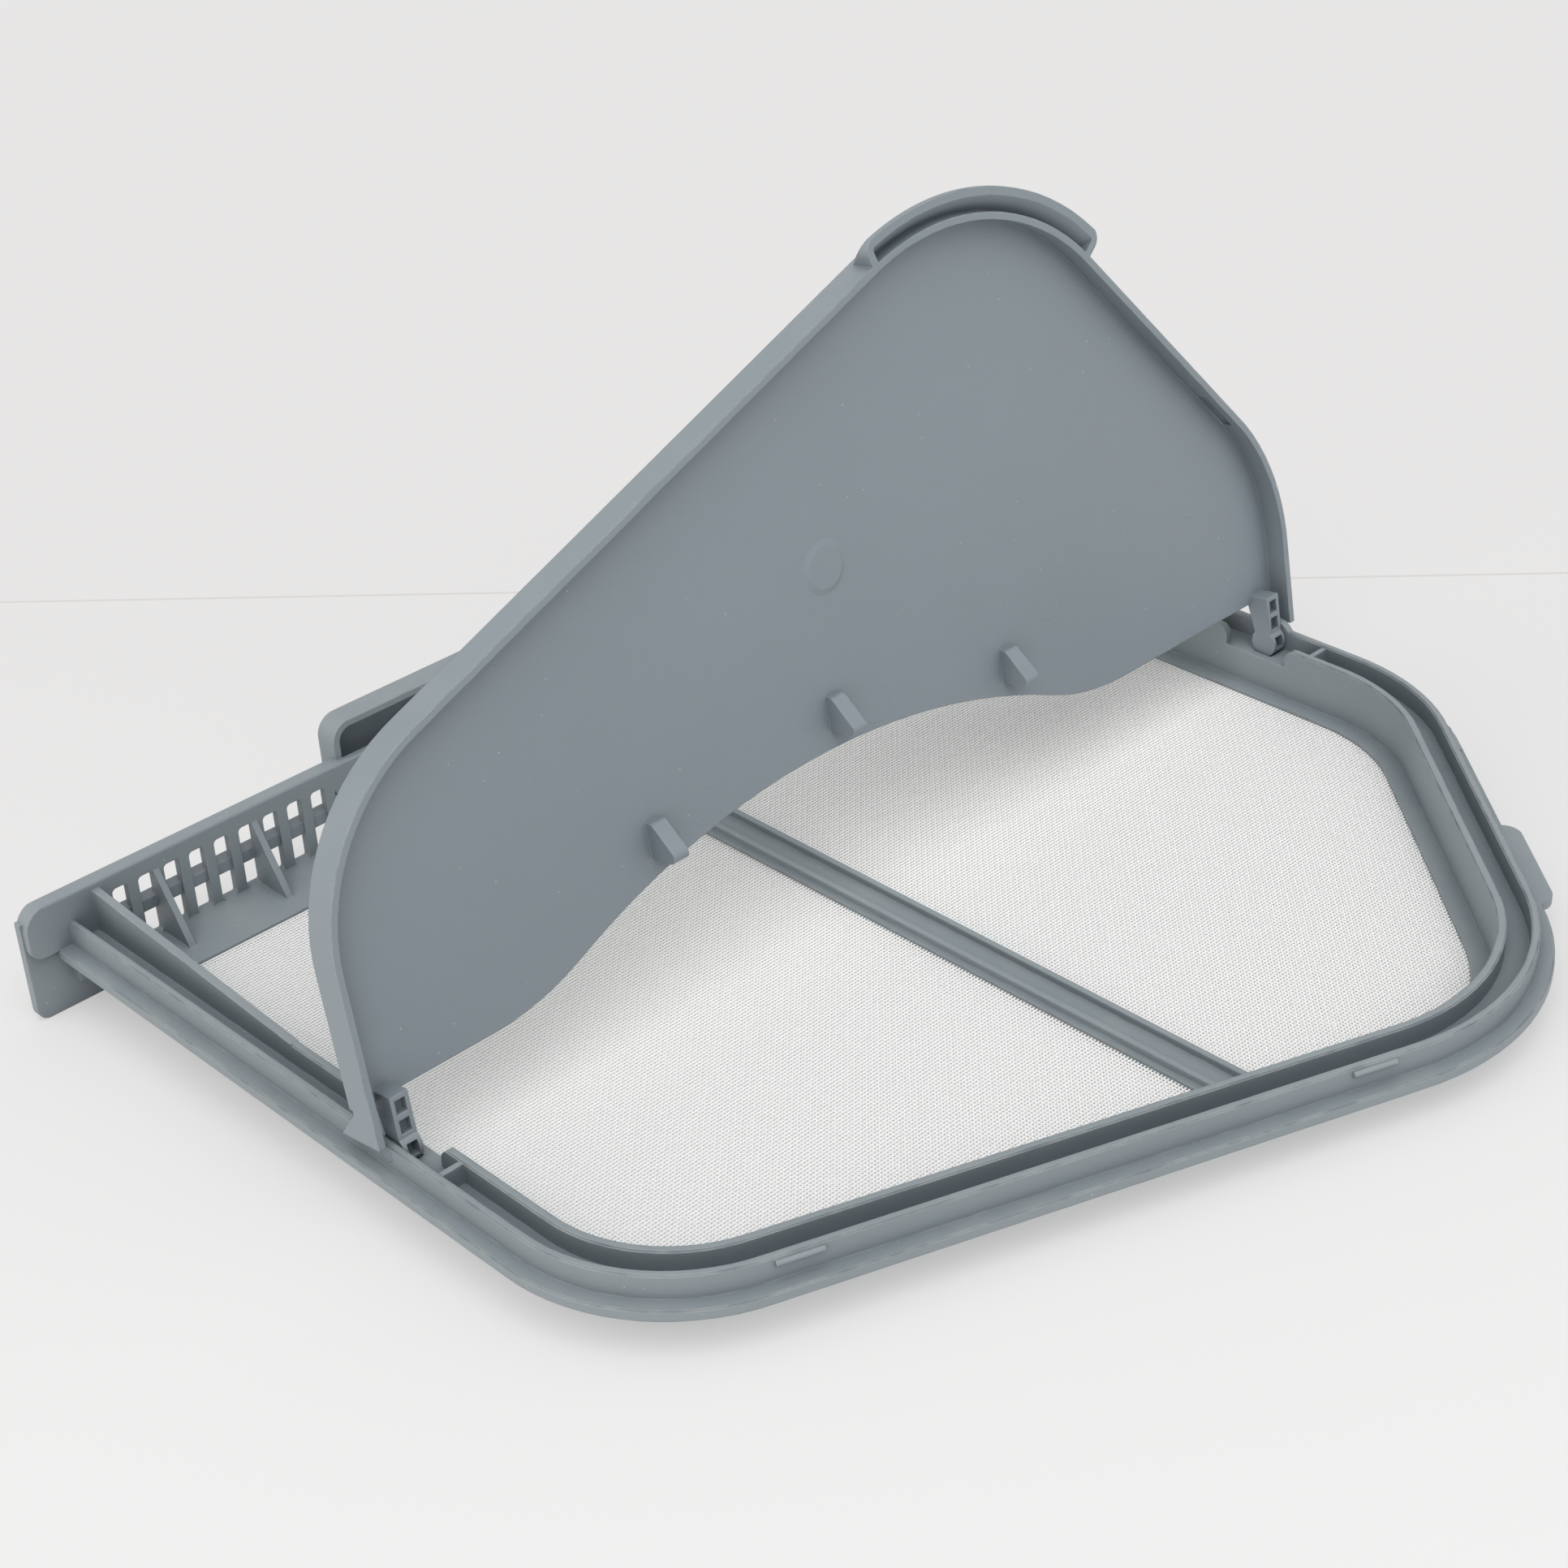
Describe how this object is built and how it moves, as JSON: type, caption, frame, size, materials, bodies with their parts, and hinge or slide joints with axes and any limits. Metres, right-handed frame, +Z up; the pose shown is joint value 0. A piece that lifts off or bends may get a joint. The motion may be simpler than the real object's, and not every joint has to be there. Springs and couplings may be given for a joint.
{
  "type": "tumble dryer lint filter",
  "caption": "Tumble dryer lint filter with a rounded moulded frame, fine mesh panels, a slotted front wall with a raised grip, and a hinged lid standing open.",
  "frame": {"origin": "on the table under the middle of the part's bounding box", "axes": "+X along the hinge axis, +Y towards the slotted front wall, +Z up from the table"},
  "size_m": [0.3008, 0.2582, 0.156],
  "materials": {
    "frame_plastic": "satin moulded plastic",
    "lid_plastic": "satin moulded plastic",
    "mesh_nylon": "fine white nylon weave"
  },
  "bodies": {
    "frame": {"frame": "frame_plastic", "mesh_left": "mesh_nylon", "mesh_right": "mesh_nylon"},
    "lid": {"lid": "lid_plastic"}
  },
  "joints": [
    {"name": "lid_hinge", "type": "hinge", "parent": "frame", "child": "lid", "pos_m": [0, 0.0063, 0.01656], "axis": [1, 0, 0], "range_deg": [0, 98.5]}
  ]
}
